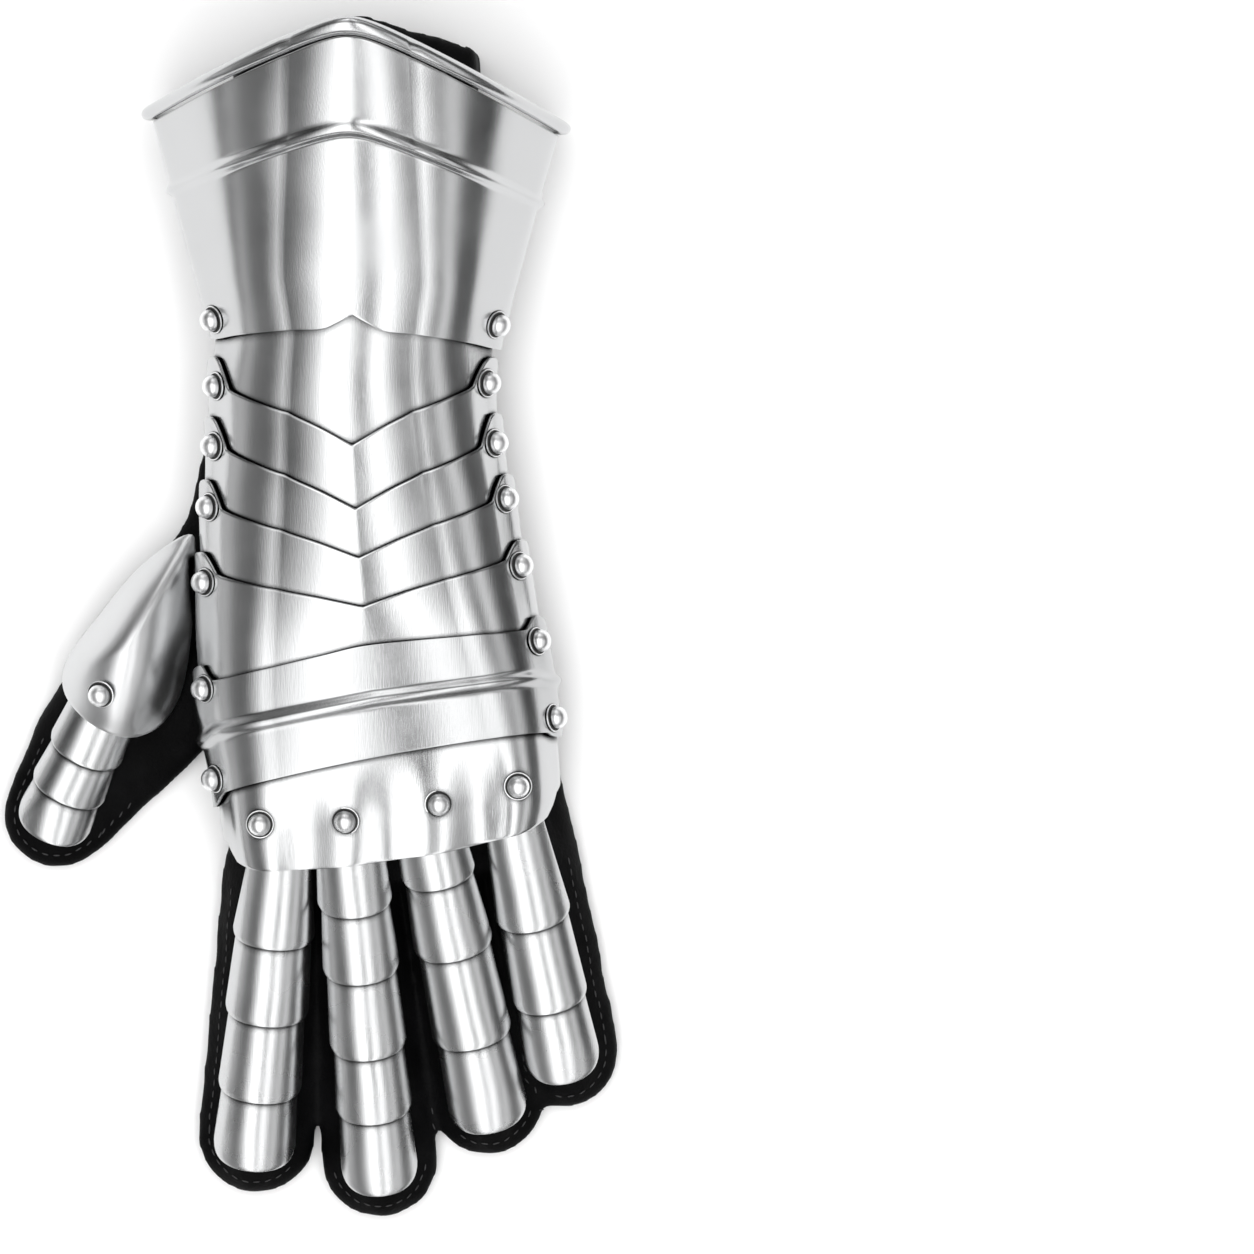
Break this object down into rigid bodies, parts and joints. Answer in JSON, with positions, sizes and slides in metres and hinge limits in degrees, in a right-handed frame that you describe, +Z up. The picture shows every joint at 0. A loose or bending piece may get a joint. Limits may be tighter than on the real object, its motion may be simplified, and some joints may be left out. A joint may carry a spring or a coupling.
{
  "type": "armoured gauntlet",
  "caption": "Left-hand hourglass gauntlet: riveted steel plates and a flared cuff over a hollow leather glove, lying palm down.",
  "frame": {"origin": "on the flat underside of the glove's palm, below the metacarpal plate", "axes": "+Z up from the surface it lies on, +Y from the fingers to the cuff, +X away from the thumb"},
  "size_m": [0.1951, 0.3808, 0.094],
  "materials": {
    "plate_steel": "polished, with soft reflections",
    "rivet_steel": "polished domes",
    "black_leather": "smooth black leather"
  },
  "bodies": {
    "hand": {"leather_glove": "black_leather", "metacarpal_rivet_thumb_side": "rivet_steel", "metacarpal_rivet_outer_side": "rivet_steel", "knuckle_plate_rivet_thumb_side": "rivet_steel", "knuckle_plate_rivet_outer_side": "rivet_steel", "knuckle_lame_rivet_thumb_side": "rivet_steel", "knuckle_lame_rivet_outer_side": "rivet_steel", "knuckle_stud_index": "rivet_steel", "knuckle_stud_middle": "rivet_steel", "knuckle_stud_ring": "rivet_steel", "knuckle_stud_pinky": "rivet_steel", "metacarpal_plate": "plate_steel", "knuckle_plate": "plate_steel", "knuckle_lame": "plate_steel", "thumb_plate": "plate_steel", "thumb_stud": "rivet_steel", "index_scale_1": "plate_steel", "index_scale_2": "plate_steel", "index_scale_3": "plate_steel", "index_scale_4": "plate_steel", "middle_scale_1": "plate_steel", "middle_scale_2": "plate_steel", "middle_scale_3": "plate_steel", "middle_scale_4": "plate_steel", "middle_scale_5": "plate_steel", "ring_scale_1": "plate_steel", "ring_scale_2": "plate_steel", "ring_scale_3": "plate_steel", "ring_scale_4": "plate_steel", "pinky_scale_1": "plate_steel", "pinky_scale_2": "plate_steel", "pinky_scale_3": "plate_steel", "thumb_scale_1": "plate_steel", "thumb_scale_2": "plate_steel", "thumb_scale_3": "plate_steel"},
    "wrist_lame_3": {"wrist_lame_3": "plate_steel", "wrist_rivet_3_thumb_side": "rivet_steel", "wrist_rivet_3_outer_side": "rivet_steel"},
    "wrist_lame_2": {"wrist_lame_2": "plate_steel", "wrist_rivet_2_thumb_side": "rivet_steel", "wrist_rivet_2_outer_side": "rivet_steel"},
    "wrist_lame_1": {"wrist_lame_1": "plate_steel", "wrist_rivet_1_thumb_side": "rivet_steel", "wrist_rivet_1_outer_side": "rivet_steel"},
    "wrist_plate": {"wrist_plate": "plate_steel"},
    "cuff": {"cuff": "plate_steel", "cuff_rivet_thumb_side": "rivet_steel", "cuff_rivet_outer_side": "rivet_steel"}
  },
  "joints": [
    {"name": "metacarpal_pivot", "type": "hinge", "parent": "hand", "child": "wrist_lame_3", "pos_m": [0.00315, 0.01446, 0.02954], "axis": [0.9987, 0.0515, 0.0002], "range_deg": [0, 5]},
    {"name": "wrist_pivot_3", "type": "hinge", "parent": "wrist_lame_3", "child": "wrist_lame_2", "pos_m": [0.00163, 0.03689, 0.03019], "axis": [0.9997, 0.0261, 0.0001], "range_deg": [0, 5]},
    {"name": "wrist_pivot_2", "type": "hinge", "parent": "wrist_lame_2", "child": "wrist_lame_1", "pos_m": [0.00067, 0.05529, 0.03025], "axis": [0.9999, 0.01, -0.0002], "range_deg": [0, 5]},
    {"name": "wrist_pivot_1", "type": "hinge", "parent": "wrist_lame_1", "child": "wrist_plate", "pos_m": [-0.00005, 0.07432, 0.03046], "axis": [0.9999, 0.0104, 0.0015], "range_deg": [0, 5]},
    {"name": "cuff_pivot", "type": "hinge", "parent": "wrist_plate", "child": "cuff", "pos_m": [0.001, 0.09429, 0.03177], "axis": [0.9998, -0.0187, 0.0074], "range_deg": [0, 5]}
  ]
}
